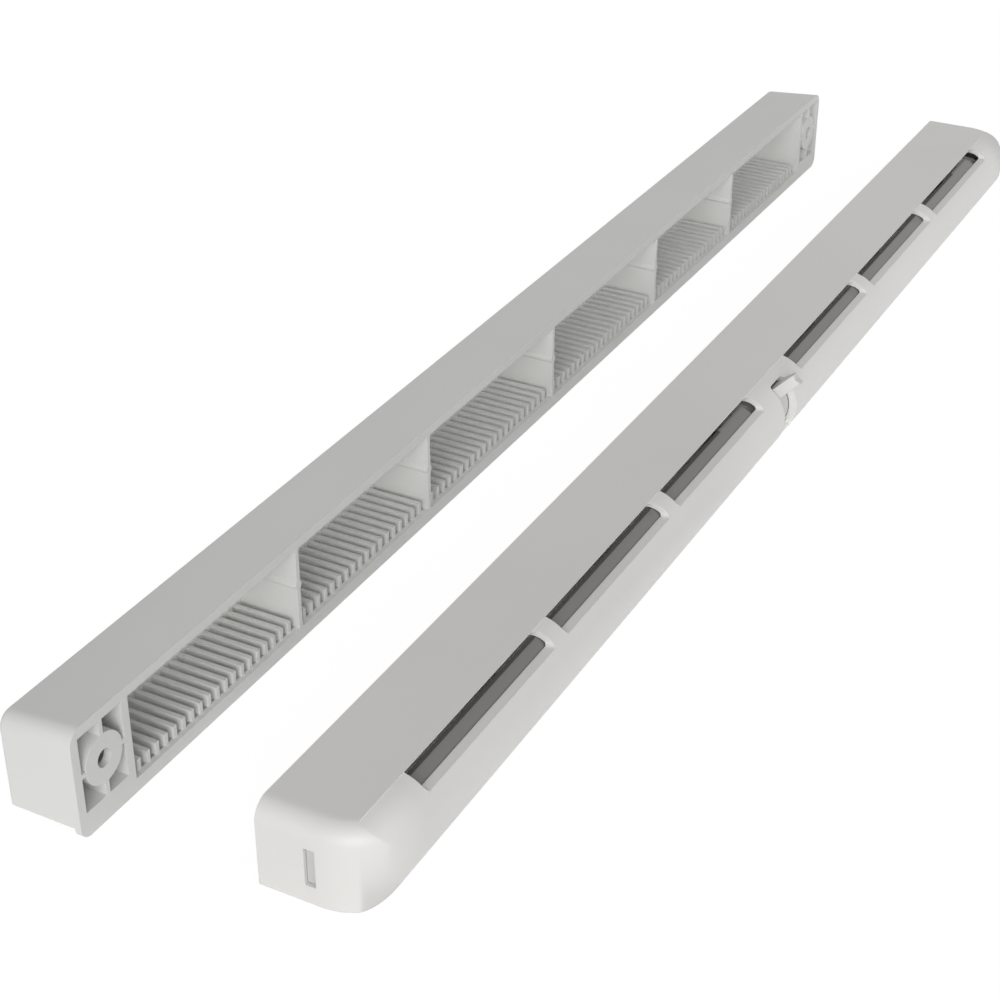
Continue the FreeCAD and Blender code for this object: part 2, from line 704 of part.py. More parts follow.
# Control lever: hub, pegs into both shutters, a drum that fills the recess, and the finger tab
lever = new_body("control_lever")
hub_outline = new_sketch(lever, "hub_outline", "YZ_Plane", LEFT_END)
circle(hub_outline, f"-{NOSE}", "0", "hub_radius")
pad(lever, hub_outline, "hub", f"right_shutter_start - ({LEFT_END})")
peg_outline = new_sketch(lever, "peg_outline", "YZ_Plane", f"{LEFT_END} - peg_length")
rectangle(peg_outline, f"-{NOSE} - ({PEG}) / 2", f"-{NOSE} + ({PEG}) / 2", f"-({PEG}) / 2", f"({PEG}) / 2")
pad(lever, peg_outline, "pegs", f"right_shutter_start - ({LEFT_END}) + 2 * peg_length")
web_outline = new_sketch(lever, "drum_web_outline", "YZ_Plane")
sector(web_outline, "hub_radius / 2", "drum_radius - drum_wall / 2", "drum_low_angle", "drum_high_angle")
pad(lever, web_outline, "drum_web", "drum_web", both_ways=True)
drum_outline = new_sketch(lever, "drum_outline", "YZ_Plane")
sector(drum_outline, "drum_radius - drum_wall", "drum_radius", "drum_low_angle", "drum_high_angle")
pad(lever, drum_outline, "drum", "drum_width", both_ways=True)

# Finger tab, drawn in plan on its sloping upper face
tab_outline = new_sketch(lever, "tab_plan", "XY_Plane")
tab_outline.AttachmentOffset = FreeCAD.Placement(Vector(), Rotation(Vector(1, 0, 0), 180 - s.lever_angle))
bind(tab_outline, AttachmentOffset__Base__y=f"-{NOSE} + tab_above * sin(lever_angle)",
     AttachmentOffset__Base__z="tab_above * cos(lever_angle)")
outline(tab_outline, [
    ("-tab_root_width / 2", "tab_root_reach"),
    ("tab_root_width / 2", "tab_root_reach"),
    ("tab_root_width / 2", HALF),
    ("tab_tip_width / 2", "tab_tip_reach"),
    ("-tab_tip_width / 2", "tab_tip_reach"),
    ("-tab_root_width / 2", HALF),
])
pad(lever, tab_outline, "finger_tab", "tab_thickness")
notch_outline = new_sketch(lever, "tab_notch_section", "YZ_Plane")
TAB_MIDDLE = "(tab_above - tab_thickness / 2)"
outline(notch_outline, [
    along_lever("tab_tip_reach - tab_notch", TAB_MIDDLE),
    along_lever("tab_tip_reach + tab_notch", f"{TAB_MIDDLE} - tab_thickness"),
    along_lever("tab_tip_reach + tab_notch", f"{TAB_MIDDLE} + tab_thickness"),
])
pocket(lever, notch_outline, "tab_notch", "tab_root_width", both_ways=True)


# End pivots: a square peg for the shutter, a shoulder, and the pivot itself
def end_pivot(name, shutter_end, outwards):
    low = shutter_end if outwards > 0 else f"-({shutter_end})"
    shoulder = "end_bearing_centre - bearing_thickness / 2 - pivot_gap"
    tip = "end_bearing_centre + bearing_thickness / 2 + pivot_tip"

    def span(first, last):
        return (first, last) if outwards > 0 else (f"-({last})", f"-({first})")
    peg = square_peg(name + "_peg", *span(f"{low} - peg_length", low), PEG)
    collar_rod = rod(name + "_shoulder", "pivot_shoulder_radius", *span(low, shoulder))
    pin = rod(name + "_pin", "pivot_radius", *span(low, tip))
    keep(join(name, [peg, collar_rod, pin]), name)


end_pivot("left_end_pivot", "left_shutter_start", -1)
end_pivot("right_end_pivot", "right_shutter_start + shutter_length", 1)

# Friction spring: a steel leaf from the base plate to just under the hub
spring = new_body("friction_spring")
spring_outline = new_sketch(spring, "spring_section", "YZ_Plane", "spring_centre")
PAD_TOP = "(-hub_radius - spring_gap)"
outline(spring_outline, [
    (f"-{PLATE_FRONT}", "spring_foot_low"),
    (f"-{PLATE_FRONT}", "spring_foot_high"),
    (f"-{NOSE} + spring_pad_half", PAD_TOP),
    (f"-{NOSE} - spring_pad_half", PAD_TOP),
    (f"-{NOSE} - spring_pad_half", f"{PAD_TOP} - spring_thickness"),
    (f"-{NOSE} + spring_pad_half", f"{PAD_TOP} - spring_thickness"),
    (f"-{PLATE_FRONT} - spring_thickness", "spring_foot_high - spring_thickness"),
    (f"-{PLATE_FRONT} - spring_thickness", "spring_foot_low"),
])
pad(spring, spring_outline, "spring_leaf", "spring_width", both_ways=True)

# Canopy hood: built with its back face at Y = 0 and its underside at Z = 0, then placed
hood = new_body("canopy_hood")
HOOD_END = "canopy_length / 2"
hood_section = new_sketch(hood, "hood_section", "YZ_Plane")
outline(hood_section, [
    ("0", "canopy_underside"),
    ("canopy_depth", "canopy_underside"),
    ("canopy_depth", "canopy_height - canopy_fall"),
    ("0", "canopy_height"),
])
pad(hood, hood_section, "hood_block", "canopy_length", both_ways=True)


def hood_end_edge(place, along):
    at_end = abs(abs(place.x) - s.canopy_length / 2) < NEAR
    return at_end and place.z > s.canopy_height - s.canopy_fall and abs(along.z) < abs(along.y)


fillet(hood, "hood_end_edges", "canopy_corner_radius", hood_end_edge)


def hood_edge(place, along):
    return place.y > s.canopy_depth - NEAR and place.z > s.canopy_underside + NEAR


fillet(hood, "hood_front_edge", "canopy_edge_radius", hood_edge)

# Lip that covers the edge of the slot in the frame
lip_outline = new_sketch(hood, "lip_outline", "XZ_Plane")
LIP_TURN = "canopy_lip_turn"
outline(lip_outline, [
    (f"-{HOOD_END} + {LIP_TURN}", "0"),
    (f"{HOOD_END} - ({LIP_TURN})", "0", f"{HOOD_END} - ({LIP_TURN})", LIP_TURN, LIP_TURN, "left"),
    (HOOD_END, LIP_TURN),
    (HOOD_END, "canopy_lip_height"),
    (f"-{HOOD_END}", "canopy_lip_height"),
    (f"-{HOOD_END}", LIP_TURN, f"-{HOOD_END} + {LIP_TURN}", LIP_TURN, LIP_TURN, "left"),
])
pad(hood, lip_outline, "lip", "canopy_lip_thickness", backwards=True)

# Hollow between the ends: the open bays above the lip
bay_outline = new_sketch(hood, "bay_outline", "XZ_Plane")
rectangle(bay_outline, "-bay_end", "bay_end", "canopy_lip_height", "canopy_height - canopy_top_wall")
pocket(hood, bay_outline, "bays", "canopy_depth - canopy_front_wall")
under_outline = new_sketch(hood, "under_outline", "XZ_Plane", "-canopy_lip_thickness")
rectangle(under_outline, "-bay_end", "bay_end", "0", "canopy_height / 2")
pocket(hood, under_outline, "open_underside", "canopy_depth - canopy_front_wall - canopy_lip_thickness")

# Grille: a row of fins across the open underside
fin_outline = new_sketch(hood, "fin_outline", "YZ_Plane", f"-{fin_span / 2} - fin_thickness / 2")
rectangle(fin_outline, "fin_setback", "canopy_depth - canopy_front_wall / 2", "canopy_underside", "fin_top")
fin = pad(hood, fin_outline, "fin", "fin_thickness")
fins = hood.newObject("PartDesign::LinearPattern", "fins")
fins.Originals = [fin]
fins.Direction = (origin_item(hood, "X_Axis"), [""])
fins.Occurrences = int(round(fin_span / s.fin_pitch)) + 1
fins.Length = fin_span
hood.Tip = fins
doc.recompute()

# Partitions with their beads
partition_outline = new_sketch(hood, "partition_outline", "XZ_Plane")
bead_outline = new_sketch(hood, "bead_outline", "XZ_Plane")
for centre in ("-partition_outer", "-partition_inner", "0", "partition_inner", "partition_outer"):
    rectangle(partition_outline, f"{centre} - partition_thickness / 2", f"{centre} + partition_thickness / 2",
              "canopy_underside", "canopy_height - canopy_top_wall + partition_root")
    circle(bead_outline, centre, "fixing_height", "bead_radius")
pad(hood, partition_outline, "partitions", "canopy_depth - canopy_front_wall / 2", backwards=True)
pad(hood, bead_outline, "beads", "canopy_depth - canopy_front_wall / 2", backwards=True)

# End boxes with the fixing bosses
box_outline = new_sketch(hood, "end_box_outline", "XZ_Plane")
for side in ("-", ""):
    rectangle(box_outline, f"{side}boss_box_start", f"{side}({HOOD_END} - canopy_end_rim)",
              "boss_box_floor", "boss_box_roof")
pocket(hood, box_outline, "end_boxes", "canopy_depth - canopy_front_wall")
boss_web_outline = new_sketch(hood, "boss_web_outline", "XZ_Plane")
for side in ("-", ""):
    rectangle(boss_web_outline, f"{side}fixing_spacing / 2 - boss_web / 2",
              f"{side}fixing_spacing / 2 + boss_web / 2", "boss_box_floor - boss_web_root",
              "boss_box_roof + boss_web_root")
pad(hood, boss_web_outline, "upright_boss_webs", "canopy_depth - canopy_front_wall / 2", backwards=True)
cross_outline = new_sketch(hood, "boss_cross_outline", "XZ_Plane")
for side in ("-", ""):
    rectangle(cross_outline, f"{side}(boss_box_start - boss_web_root)",
              f"{side}({HOOD_END} - canopy_end_rim / 2)", "fixing_height - boss_web / 2",
              "fixing_height + boss_web / 2")
pad(hood, cross_outline, "level_boss_webs", "canopy_depth - canopy_front_wall / 2", backwards=True)
hood_boss_outline = new_sketch(hood, "hood_boss_outline", "XZ_Plane")
fixing_outline = new_sketch(hood, "fixing_outline", "XZ_Plane")
counterbore_outline = new_sketch(hood, "counterbore_outline", "XZ_Plane", "-fixing_web")
for side in ("-", ""):
    circle(hood_boss_outline, f"{side}fixing_spacing / 2", "fixing_height", "boss_radius")
    circle(fixing_outline, f"{side}fixing_spacing / 2", "fixing_height", "fixing_hole_radius")
    circle(counterbore_outline, f"{side}fixing_spacing / 2", "fixing_height", "fixing_head_radius")
pad(hood, hood_boss_outline, "bosses", "canopy_depth - canopy_front_wall / 2", backwards=True)
pocket(hood, fixing_outline, "fixing_holes", "canopy_depth * 2", both_ways=True)
pocket(hood, counterbore_outline, "counterbores", "canopy_depth")
bind(hood, Placement__Base__x="canopy_shift", Placement__Base__y="canopy_offset",
     Placement__Base__z="-cover_height / 2")


# Screw caps: a disc in the mouth of each counterbore, with a hollow skirt
def screw_cap(name, side):
    centre = Vector(s.canopy_shift + side * s.fixing_spacing / 2, s.canopy_offset + s.canopy_depth,
                    s.fixing_height - s.cover_height / 2)
    parts = []
    for part_name, radius, height in (
            ("_plug", "fixing_head_radius - cap_gap", "cap_thickness + cap_skirt"),
            ("_hollow", "fixing_head_radius - cap_gap - cap_skirt_wall", "cap_skirt + clearance")):
        item = primitive("Part::Cylinder", name + part_name, Radius=radius, Height=height)
        parts.append(item)
    depth = s.cap_thickness + s.cap_skirt
    toward_outside = Rotation(Vector(0, 0, 1), Vector(0, 1, 0))
    parts[0].Placement = FreeCAD.Placement(centre - Vector(0, depth, 0), toward_outside)
    parts[1].Placement = FreeCAD.Placement(centre - Vector(0, depth + s.clearance, 0), toward_outside)
    keep(cut(name, parts[0], parts[1]), name)


screw_cap("left_screw_cap", -1)
screw_cap("right_screw_cap", 1)

doc.recompute()
for item in doc.Objects:
    if "Invalid" in item.State or "Error" in item.State:
        raise RuntimeError(f"{item.Name} failed: {item.getStatusString()}")
for name, item in pieces.items():
    if item.Shape.isNull() or not item.Shape.isValid() or not item.Shape.Solids:
        raise RuntimeError(f"{name} has no valid shape")
os.makedirs("parts", exist_ok=True)
for name, item in pieces.items():
    item.Shape.exportStep(f"parts/{name}.step")
    print(f"{name}: {len(item.Shape.Solids)} solid, {item.Shape.Volume:.0f} mm3")
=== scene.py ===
import json
import math

import bmesh
import bpy
from mathutils import Matrix, Vector


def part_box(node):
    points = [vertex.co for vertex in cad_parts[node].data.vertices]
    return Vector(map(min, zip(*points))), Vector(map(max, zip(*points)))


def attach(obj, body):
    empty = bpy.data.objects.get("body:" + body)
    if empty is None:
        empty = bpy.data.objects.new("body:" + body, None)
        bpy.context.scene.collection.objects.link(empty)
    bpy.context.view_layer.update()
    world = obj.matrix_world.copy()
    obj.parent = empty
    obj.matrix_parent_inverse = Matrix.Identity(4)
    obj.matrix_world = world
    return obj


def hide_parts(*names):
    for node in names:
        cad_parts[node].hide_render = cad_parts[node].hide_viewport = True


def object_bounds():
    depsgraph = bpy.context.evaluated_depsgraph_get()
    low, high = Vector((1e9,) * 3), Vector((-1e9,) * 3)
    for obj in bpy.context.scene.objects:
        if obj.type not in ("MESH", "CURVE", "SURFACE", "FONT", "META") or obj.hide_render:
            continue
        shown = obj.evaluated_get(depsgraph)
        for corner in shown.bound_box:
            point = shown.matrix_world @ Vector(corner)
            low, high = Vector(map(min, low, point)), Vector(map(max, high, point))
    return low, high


# A window trickle vent and its rain canopy, lying side by side as they come out of the box.
# Metres, in the frame of the model: +X along the vent, +Y outdoors, +Z up.

MM = 0.001

# Camera, worked out from the long edges in the photograph
CAMERA_PLACE = Vector((-428.3, -170.85, 241.4)) * MM
CAMERA_AZIMUTH = math.radians(28.03)
CAMERA_DOWN = math.radians(30.91)
FOCAL_PIXELS = 1980.0
FRAME_PIXELS = 1000.0
SENSOR_WIDTH = 36.0
CLIP_START = 0.01

# Light: a broad key low beyond the near ends, a weak fill from the room side, and an even sky
KEY_DIRECTION = Vector((-0.87, -0.41, 0.26))
KEY_STRENGTH = 1.75
FILL_DIRECTION = Vector((-0.15, -0.82, 0.55))
FILL_STRENGTH = 0.3
LAMP_ANGLE = math.radians(40)
SKY_STRENGTH = 0.36

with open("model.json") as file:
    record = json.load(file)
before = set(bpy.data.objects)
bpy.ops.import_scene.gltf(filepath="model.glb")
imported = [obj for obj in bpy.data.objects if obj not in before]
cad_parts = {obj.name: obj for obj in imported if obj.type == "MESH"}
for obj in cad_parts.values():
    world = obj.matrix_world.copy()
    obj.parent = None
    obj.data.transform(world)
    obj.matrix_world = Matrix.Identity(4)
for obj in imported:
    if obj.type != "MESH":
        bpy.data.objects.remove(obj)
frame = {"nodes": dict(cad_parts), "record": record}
cad_low, cad_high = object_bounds()
nodes = frame["nodes"]
bodies = frame["record"]["behaviour"]["bodies"]
body_of_node = {node: body for body, names in bodies.items() for node in names}
slot_of_node = {entry["node"]: entry["material_slot"] for entry in frame["record"]["subparts"]}


# Materials, with the scales of their patterns per metre

TONE_SCALE = 14.0
TONE_DARK_AT = 0.35
TONE_LIGHT_AT = 0.65
GRAIN_SCALE = 2600.0
GRAIN_DEPTH = 0.02 * MM
EDGE_SAMPLES = 6
PIT_SCALE = 1400.0
PIT_DEPTH = 0.05 * MM
PIT_STRENGTH = 0.25
STEEL_COLOUR = (0.60, 0.60, 0.61)
STEEL_ROUGHNESS = 0.28
STEEL_LINE_SCALE = (4000.0, 60.0, 60.0)
STEEL_LINE_DEPTH = 0.01 * MM
STEEL_LINE_STRENGTH = 0.1


def new_material(name, colour, roughness):
    material = bpy.data.materials.new(name)
    material.use_nodes = True
    shader = material.node_tree.nodes["Principled BSDF"]
    shader.inputs["Base Color"].default_value = (*colour, 1.0)
    shader.inputs["Roughness"].default_value = roughness
    return material, shader


def add_node(material, kind, **inputs):
    node = material.node_tree.nodes.new(kind)
    for name, value in inputs.items():
        node.inputs[name.replace("_", " ")].default_value = value
    return node


def wire(material, source, output, target, socket):
    material.node_tree.links.new(source.outputs[output], target.inputs[socket])


def moulded(name, colour, roughness, grain=0.06, shading=0.02, edge_radius=0.12 * MM):
    """Satin moulded plastic: a fine spark-eroded grain, a slow change of tone, and soft edges."""
    material, shader = new_material(name, colour, roughness)
    place = add_node(material, "ShaderNodeTexCoord")
    tone = add_node(material, "ShaderNodeTexNoise", Scale=TONE_SCALE, Detail=3.0, Roughness=0.5)
    wire(material, place, "Object", tone, "Vector")
    ramp = material.node_tree.nodes.new("ShaderNodeValToRGB")
    dark = [channel * (1.0 - shading) for channel in colour]
    light = [min(1.0, channel * (1.0 + shading)) for channel in colour]
    ramp.color_ramp.elements[0].position = TONE_DARK_AT
    ramp.color_ramp.elements[0].color = (*dark, 1.0)
    ramp.color_ramp.elements[1].position = TONE_LIGHT_AT
    ramp.color_ramp.elements[1].color = (*light, 1.0)
    wire(material, tone, "Fac", ramp, "Fac")
    wire(material, ramp, "Color", shader, "Base Color")
    fine = add_node(material, "ShaderNodeTexNoise", Scale=GRAIN_SCALE, Detail=2.0, Roughness=0.6)
    wire(material, place, "Object", fine, "Vector")
    soften = add_node(material, "ShaderNodeBevel", Radius=edge_radius)
    soften.samples = EDGE_SAMPLES
    bump = add_node(material, "ShaderNodeBump", Strength=grain, Distance=GRAIN_DEPTH)
    wire(material, fine, "Fac", bump, "Height")
    wire(material, soften, "Normal", bump, "Normal")
    wire(material, bump, "Normal", shader, "Normal")
    return material


def rubber(name, colour, roughness):
    """Soft rubber or closed-cell foam: dark, dry and finely pitted."""
    material, shader = new_material(name, colour, roughness)
    place = add_node(material, "ShaderNodeTexCoord")
    cells = add_node(material, "ShaderNodeTexVoronoi", Scale=PIT_SCALE)
    wire(material, place, "Object", cells, "Vector")
    bump = add_node(material, "ShaderNodeBump", Strength=PIT_STRENGTH, Distance=PIT_DEPTH)
    wire(material, cells, "Distance", bump, "Height")
    wire(material, bump, "Normal", shader, "Normal")
    return material


def spring_steel(name):
    """Bright rolled strip with fine lines along it."""
    material, shader = new_material(name, STEEL_COLOUR, STEEL_ROUGHNESS)
    shader.inputs["Metallic"].default_value = 1.0
    place = add_node(material, "ShaderNodeTexCoord")
    stretch = material.node_tree.nodes.new("ShaderNodeMapping")
    stretch.inputs["Scale"].default_value = STEEL_LINE_SCALE
    wire(material, place, "Object", stretch, "Vector")
    lines = add_node(material, "ShaderNodeTexNoise", Scale=1.0, Detail=2.0)
    wire(material, stretch, "Vector", lines, "Vector")
    bump = add_node(material, "ShaderNodeBump", Strength=STEEL_LINE_STRENGTH,
                    Distance=STEEL_LINE_DEPTH)
    wire(material, lines, "Fac", bump, "Height")
    wire(material, bump, "Normal", shader, "Normal")
    return material


FINISHES = {
    "white_cover": moulded("cover_plastic", (0.79, 0.78, 0.76), 0.42),
    # The base is white plastic painted darker, as painted shade on the tongue seen through the window.
    "white_base": moulded("base_plastic_painted_shade", (0.60, 0.595, 0.58), 0.5),
    # The shutters' dark grey is partly their own colour and partly painted shade, standing for the
    # shade deep in the slots.
    "grey_shutter": moulded("shutter_plastic_with_slot_shade", (0.20, 0.197, 0.186), 0.28),
    # The lever is white plastic painted darker than the cover, as painted shade on the lever.
    "white_lever": moulded("lever_plastic_painted_shade", (0.65, 0.645, 0.625), 0.4, edge_radius=0.4 * MM),
    "white_canopy": moulded("canopy_plastic", (0.77, 0.77, 0.75), 0.48),
    "natural_acetal": moulded("natural_acetal", (0.72, 0.71, 0.66), 0.35),
    "grey_foam": rubber("gasket_foam", (0.10, 0.10, 0.10), 0.95),
    # The seal is near-black; its colour also paints the shade in the narrow gap along the back edges
    # of the slots.
    "black_rubber": rubber("seal_rubber_and_gap_shade", (0.06, 0.06, 0.058), 0.7),
    "spring_steel": spring_steel("spring_steel"),
}


# The CAD nodes, merged, shaded and finished

SMOOTH_UNDER = math.radians(32)
FLAT_WITHIN = math.radians(0.4)
MERGE_WITHIN = 0.002 * MM
CUT_WITHIN = 0.001 * MM

cover_low, cover_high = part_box("vent_cover")
COVER_HALF = (cover_high.x - cover_low.x) / 2
NOSE_RADIUS = (cover_high.z - cover_low.z) / 2
NOSE_DEPTH = -cover_low.y - NOSE_RADIUS
NOSE_MARGIN = 0.05 * MM
NOSE_FACING = 0.9
END_ROUNDING = 14.3 * MM
END_BLEND = 4.0 * MM


def from_nose_axis(place):
    """The way square out from the nose's axis, which is also the shutters' axis, to a place."""
    return Vector((0, place.y + NOSE_DEPTH, place.z))


def on_nose(place):
    """Whether a place in the cover lies on the surface of the half-round nose."""
    return abs(from_nose_axis(place).length - NOSE_RADIUS) < NOSE_MARGIN


def soften_nose_ends(mesh):
    """Let the nose shade softly into the rounded ends of the cover."""
    for side in (-1, 1):
        cut = Vector((side * (COVER_HALF - END_ROUNDING - END_BLEND), 0, 0))
        bmesh.ops.bisect_plane(mesh, geom=mesh.verts[:] + mesh.edges[:] + mesh.faces[:],
                               dist=CUT_WITHIN, plane_co=cut, plane_no=(1, 0, 0))
    for edge in mesh.edges:
        if all(on_nose(vert.co) and abs(vert.co.x) > COVER_HALF - END_ROUNDING
               for vert in edge.verts):
            edge.smooth = True


def round_nose_shading(data):
    """Shade the facets of the half-round nose as the cylinder that they stand for."""
    normals = [Vector(corner.vector) for corner in data.corner_normals]
    for polygon in data.polygons:
        for corner in polygon.loop_indices:
            place = data.vertices[data.loops[corner].vertex_index].co
            outwards = from_nose_axis(place).normalized()
            if (on_nose(place) and polygon.normal.dot(outwards) > NOSE_FACING
                    and abs(place.x) < COVER_HALF - END_ROUNDING):
                normals[corner] = outwards
    data.normals_split_custom_set(normals)


def shade_to_edges(mesh):
    """Shade smooth up to the real edges."""
    for face in mesh.faces:
        face.smooth = True
    for edge in mesh.edges:
        edge.smooth = edge.calc_face_angle(0.0) < SMOOTH_UNDER


def dress(node):
    """Put a finished copy in a CAD node's place, with its loose triangles merged."""
    piece = nodes[node].copy()
    piece.data = nodes[node].data.copy()
    piece.name = node + "_finished"
    bpy.context.scene.collection.objects.link(piece)
    mesh = bmesh.new()
    mesh.from_mesh(piece.data)
    bmesh.ops.remove_doubles(mesh, verts=mesh.verts, dist=MERGE_WITHIN)
    bmesh.ops.dissolve_limit(mesh, angle_limit=FLAT_WITHIN, verts=mesh.verts, edges=mesh.edges)
    shade_to_edges(mesh)
    if node == "vent_cover":
        soften_nose_ends(mesh)
    mesh.to_mesh(piece.data)
    mesh.free()
    if node == "vent_cover":
        round_nose_shading(piece.data)
    piece.data.materials.clear()
    piece.data.materials.append(FINISHES[slot_of_node[node]])
    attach(piece, body_of_node[node])
    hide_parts(node)


for node in nodes:
    dress(node)


# Small forms of the mouldings: rounded corners in the ends of the vent's slots, the lips of the
# lever's recess, and the lower edges of the canopy's fins

SLOTS_PER_SIDE = 3
SLOT_FIRST = 12.6 * MM
SLOT_LENGTH = 53.0 * MM
SLOT_PITCH = 58.0 * MM
SLOT_BACK_DEPTH = 19.35 * MM
SLOT_LEDGE_HEIGHT = 6.635 * MM
BACK_CORNER_RADIUS = 2.0 * MM
BACK_CORNER_RUN = 1.75 * MM
LEDGE_CORNER_RADIUS = 1.0 * MM
LEDGE_CORNER_RUN = 2.2 * MM
CORNER_STEPS = 8
QUARTER_TURN = math.radians(90)
SUNK = 0.15 * MM
RECESS_HALF_WIDTH = 4.1 * MM
RECESS_LIP_PROUD = 0.03 * MM
RECESS_LIP_WIDTH = 1.0 * MM
RECESS_LIP_RADII = (7.68 * MM, 9.66 * MM)
RECESS_FROM = math.radians(-30)
RECESS_SWEEP = math.radians(89)
RECESS_STEPS = 36
FIN_PITCH = 3.0 * MM
FINS_PER_HALF = 60
FIN_FOOT_WIDTH = 1.06 * MM
FIN_FOOT_FROM = 1.4 * MM
FIN_FOOT_TO = 15.6 * MM
FIN_FOOT_LOW = 0.8 * MM
FIN_FOOT_HIGH = 2.95 * MM
FIN_FOOT_TIP = 0.1 * MM


def add_piece(name, mesh, body, finish):
    """A finished piece of the scene from a bmesh, closed and turned outwards."""
    bmesh.ops.recalc_face_normals(mesh, faces=mesh.faces)
    shade_to_edges(mesh)
    data = bpy.data.meshes.new(name)
    mesh.to_mesh(data)
    mesh.free()
    piece = bpy.data.objects.new(name, data)
    bpy.context.scene.collection.objects.link(piece)
    data.materials.append(FINISHES[finish])
    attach(piece, body)


def around_nose_axis(place, radius, turn):
    """A point at a radius from the nose's axis, turned up from straight into the room."""
    return Vector((place, -NOSE_DEPTH - radius * math.cos(turn), radius * math.sin(turn)))


def corner_fillet(mesh, end, into_slot, wall_turn, slot_turn, radius, run, off_wall):
    """Fill the corner between a slot's end wall and a wall that runs inwards from the nose.

    The fillet's outer end lies on the chord of the nose, and run is how it goes inwards.
    """
    edge = around_nose_axis(end, NOSE_RADIUS, wall_turn)
    sweep = math.copysign(2 * math.asin(radius / (2 * NOSE_RADIUS)), slot_turn)
    chord = around_nose_axis(end, NOSE_RADIUS, wall_turn + sweep) - edge
    across = chord / chord.dot(off_wall)
    profile = [(-SUNK, radius), (-SUNK, -SUNK), (radius, -SUNK)]
    for step in range(CORNER_STEPS + 1):
        turn = QUARTER_TURN * step / CORNER_STEPS
        profile.append((radius * (1 - math.sin(turn)), radius * (1 - math.cos(turn))))
    points = [edge + Vector((into_slot * from_end, 0, 0)) + across * from_wall
              for from_end, from_wall in profile]
    outer = mesh.faces.new([mesh.verts.new(point) for point in points])
    grown = bmesh.ops.extrude_face_region(mesh, geom=[outer])["geom"]
    inner = [item for item in grown if isinstance(item, bmesh.types.BMVert)]
    bmesh.ops.translate(mesh, vec=run, verts=inner)


def make_slot_corners():
    """Round the corners in the ends of the slots, at their back wall and at their ledge."""
    mesh = bmesh.new()
    back_turn = math.acos((SLOT_BACK_DEPTH - NOSE_DEPTH) / NOSE_RADIUS)
    ledge_turn = math.asin(SLOT_LEDGE_HEIGHT / NOSE_RADIUS)
    undercut = Vector((0, 1, -1)).normalized() * BACK_CORNER_RUN
    inwards = Vector((0, LEDGE_CORNER_RUN, 0))
    for side in (-1, 1):
        for index in range(SLOTS_PER_SIDE):
            first = SLOT_FIRST + index * SLOT_PITCH
            left, right = sorted((side * first, side * (first + SLOT_LENGTH)))
            corner_fillet(mesh, right, -1, back_turn, -1, BACK_CORNER_RADIUS, undercut,
                          Vector((0, -1, -1)).normalized())
            for end, into_slot in ((left, 1), (right, -1)):
                corner_fillet(mesh, end, into_slot, ledge_turn, 1, LEDGE_CORNER_RADIUS, inwards,
                              Vector((0, 0, 1)))
    add_piece("slot_end_fillets", mesh, "housing", "white_cover")


def make_recess_lips():
    """Carry the side walls of the lever's recess down to the lever's drum."""
    mesh = bmesh.new()
    low, high = RECESS_LIP_RADII
    for side in (-1, 1):
        near = side * (RECESS_HALF_WIDTH - RECESS_LIP_PROUD)
        far = side * (RECESS_HALF_WIDTH + RECESS_LIP_WIDTH)
        section = [mesh.verts.new(around_nose_axis(place, radius, RECESS_FROM))
                   for place, radius in ((near, low), (far, low), (far, high), (near, high))]
        bmesh.ops.spin(mesh, geom=[mesh.faces.new(section)], cent=(0, -NOSE_DEPTH, 0), axis=(-1, 0, 0),
                       angle=RECESS_SWEEP, steps=RECESS_STEPS)
    add_piece("recess_lips", mesh, "housing", "white_cover")


def make_fin_feet():
    """Wedges under the canopy's fins, from the inner lip up to the outdoor wall.

    They hide the ground between the fins from above.
    """
    mesh = bmesh.new()
    hood_low, hood_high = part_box("canopy_hood")
    middle = (hood_low.x + hood_high.x) / 2
    depth_middle = hood_low.y + (FIN_FOOT_FROM + FIN_FOOT_TO) / 2
    height_middle = hood_low.z + (FIN_FOOT_LOW + FIN_FOOT_HIGH) / 2
    size = Vector((FIN_FOOT_WIDTH, FIN_FOOT_TO - FIN_FOOT_FROM, FIN_FOOT_HIGH - FIN_FOOT_LOW))
    for index in range(-FINS_PER_HALF, FINS_PER_HALF + 1):
        centre = Vector((middle + index * FIN_PITCH, depth_middle, height_middle))
        bmesh.ops.create_cube(mesh, size=1.0, matrix=Matrix.LocRotScale(centre, None, size))
    outer_low = [vert for vert in mesh.verts
                 if vert.co.y > depth_middle and vert.co.z < height_middle]
    bmesh.ops.translate(mesh, verts=outer_low, vec=(0, 0, size.z - FIN_FOOT_TIP))
    add_piece("fin_feet", mesh, "housing", "white_canopy")


make_slot_corners()
make_recess_lips()
make_fin_feet()


# Floor, light and camera

FLOOR_HEIGHT = cad_low.z
FLOOR_HALF = 4.0
FLOOR_COLOUR = (0.86, 0.86, 0.86)
FLOOR_ROUGHNESS = 0.9
FLOOR_GLOW = 1.08
SHADOW_SHARE = 0.12


def seen_directly(tree):
    """One for rays from the camera, straight, mirrored or through something clear, else zero."""
    path = tree.nodes.new("ShaderNodeLightPath")
    source = path.outputs["Is Camera Ray"]
    for output in ("Is Glossy Ray", "Is Transmission Ray"):
        either = tree.nodes.new("ShaderNodeMath")
        either.operation = "MAXIMUM"
        tree.links.new(source, either.inputs[0])
        tree.links.new(path.outputs[output], either.inputs[1])
        source = either.outputs[0]
    return source


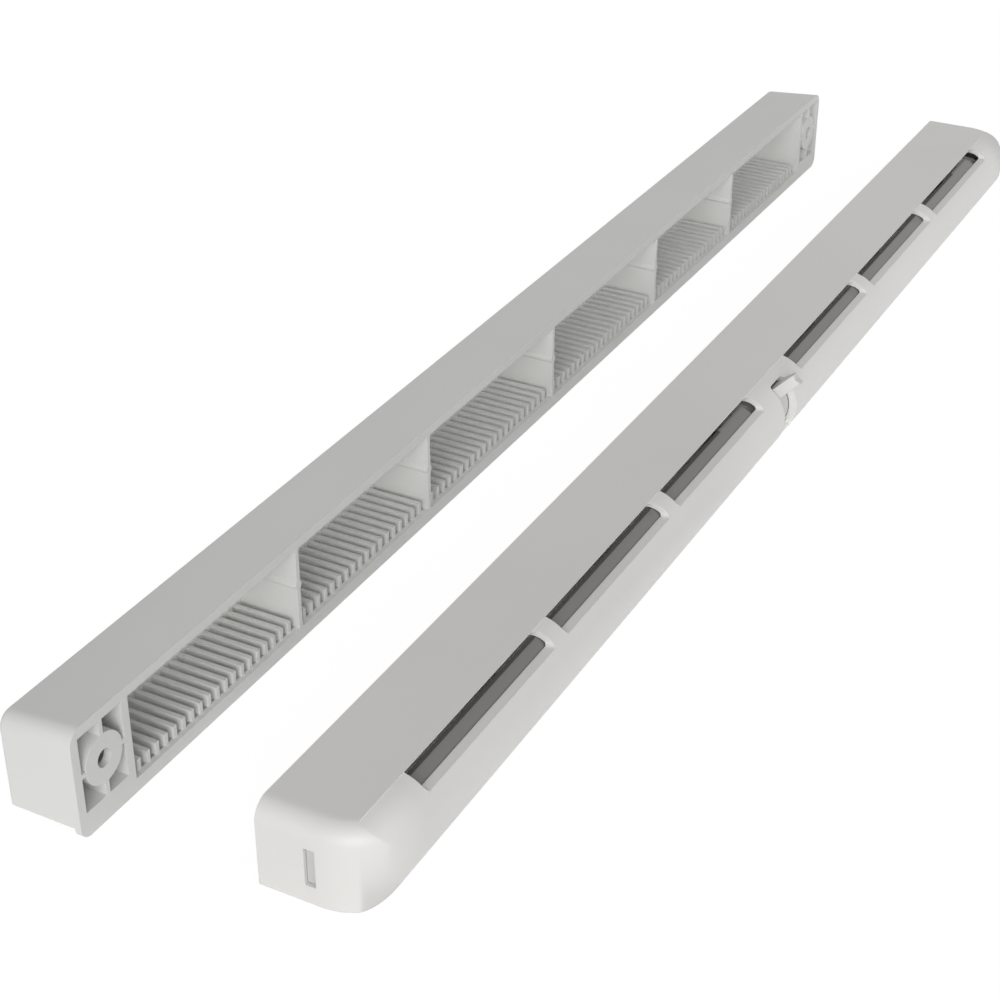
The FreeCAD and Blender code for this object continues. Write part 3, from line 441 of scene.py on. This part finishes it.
def make_floor():
    """A plain ground that is white to the eye and keeps a share of the object's shadow."""
    mesh = bmesh.new()
    bmesh.ops.create_grid(mesh, x_segments=1, y_segments=1, size=FLOOR_HALF)
    bmesh.ops.translate(mesh, verts=mesh.verts, vec=(0, 0, FLOOR_HEIGHT))
    data = bpy.data.meshes.new("floor")
    mesh.to_mesh(data)
    mesh.free()
    floor = bpy.data.objects.new("floor", data)
    bpy.context.scene.collection.objects.link(floor)
    material, shader = new_material("pale_floor", FLOOR_COLOUR, FLOOR_ROUGHNESS)
    tree = material.node_tree
    glow = tree.nodes.new("ShaderNodeEmission")
    glow.inputs["Strength"].default_value = FLOOR_GLOW
    share = tree.nodes.new("ShaderNodeMath")
    share.operation = "MULTIPLY"
    share.inputs[1].default_value = 1.0 - SHADOW_SHARE
    tree.links.new(seen_directly(tree), share.inputs[0])
    mix = tree.nodes.new("ShaderNodeMixShader")
    tree.links.new(share.outputs[0], mix.inputs["Fac"])
    tree.links.new(shader.outputs["BSDF"], mix.inputs[1])
    tree.links.new(glow.outputs["Emission"], mix.inputs[2])
    tree.links.new(mix.outputs["Shader"], tree.nodes["Material Output"].inputs["Surface"])
    data.materials.append(material)


def make_lamp(name, direction, strength):
    """A broad sun that shines from the direction given."""
    light = bpy.data.lights.new(name, "SUN")
    light.energy = strength
    light.angle = LAMP_ANGLE
    lamp = bpy.data.objects.new(name, light)
    lamp.rotation_mode = "QUATERNION"
    lamp.rotation_quaternion = (-direction).to_track_quat("-Z", "Y")
    bpy.context.scene.collection.objects.link(lamp)


def make_sky():
    """An even sky, weaker on the object than where it is seen as the white background."""
    world = bpy.data.worlds.new("studio")
    bpy.context.scene.world = world
    world.use_nodes = True
    tree = world.node_tree
    sky = tree.nodes["Background"]
    sky.inputs["Color"].default_value = (1.0, 1.0, 1.0, 1.0)
    seen = tree.nodes.new("ShaderNodeMath")
    seen.operation = "MAXIMUM"
    tree.links.new(seen_directly(tree), seen.inputs[0])
    seen.inputs[1].default_value = SKY_STRENGTH
    tree.links.new(seen.outputs[0], sky.inputs["Strength"])


def make_camera():
    lens = bpy.data.cameras.new("camera")
    lens.sensor_width = SENSOR_WIDTH
    lens.lens = FOCAL_PIXELS / FRAME_PIXELS * SENSOR_WIDTH
    lens.clip_start = CLIP_START
    camera = bpy.data.objects.new("camera", lens)
    camera.location = CAMERA_PLACE
    look = Vector((
        math.cos(CAMERA_DOWN) * math.cos(CAMERA_AZIMUTH),
        math.cos(CAMERA_DOWN) * math.sin(CAMERA_AZIMUTH),
        -math.sin(CAMERA_DOWN),
    ))
    camera.rotation_mode = "QUATERNION"
    camera.rotation_quaternion = look.to_track_quat("-Z", "Y")
    bpy.context.scene.collection.objects.link(camera)
    bpy.context.scene.camera = camera


make_floor()
make_lamp("key", KEY_DIRECTION, KEY_STRENGTH)
make_lamp("fill", FILL_DIRECTION, FILL_STRENGTH)
make_sky()
make_camera()
bpy.context.scene.view_settings.view_transform = "Standard"
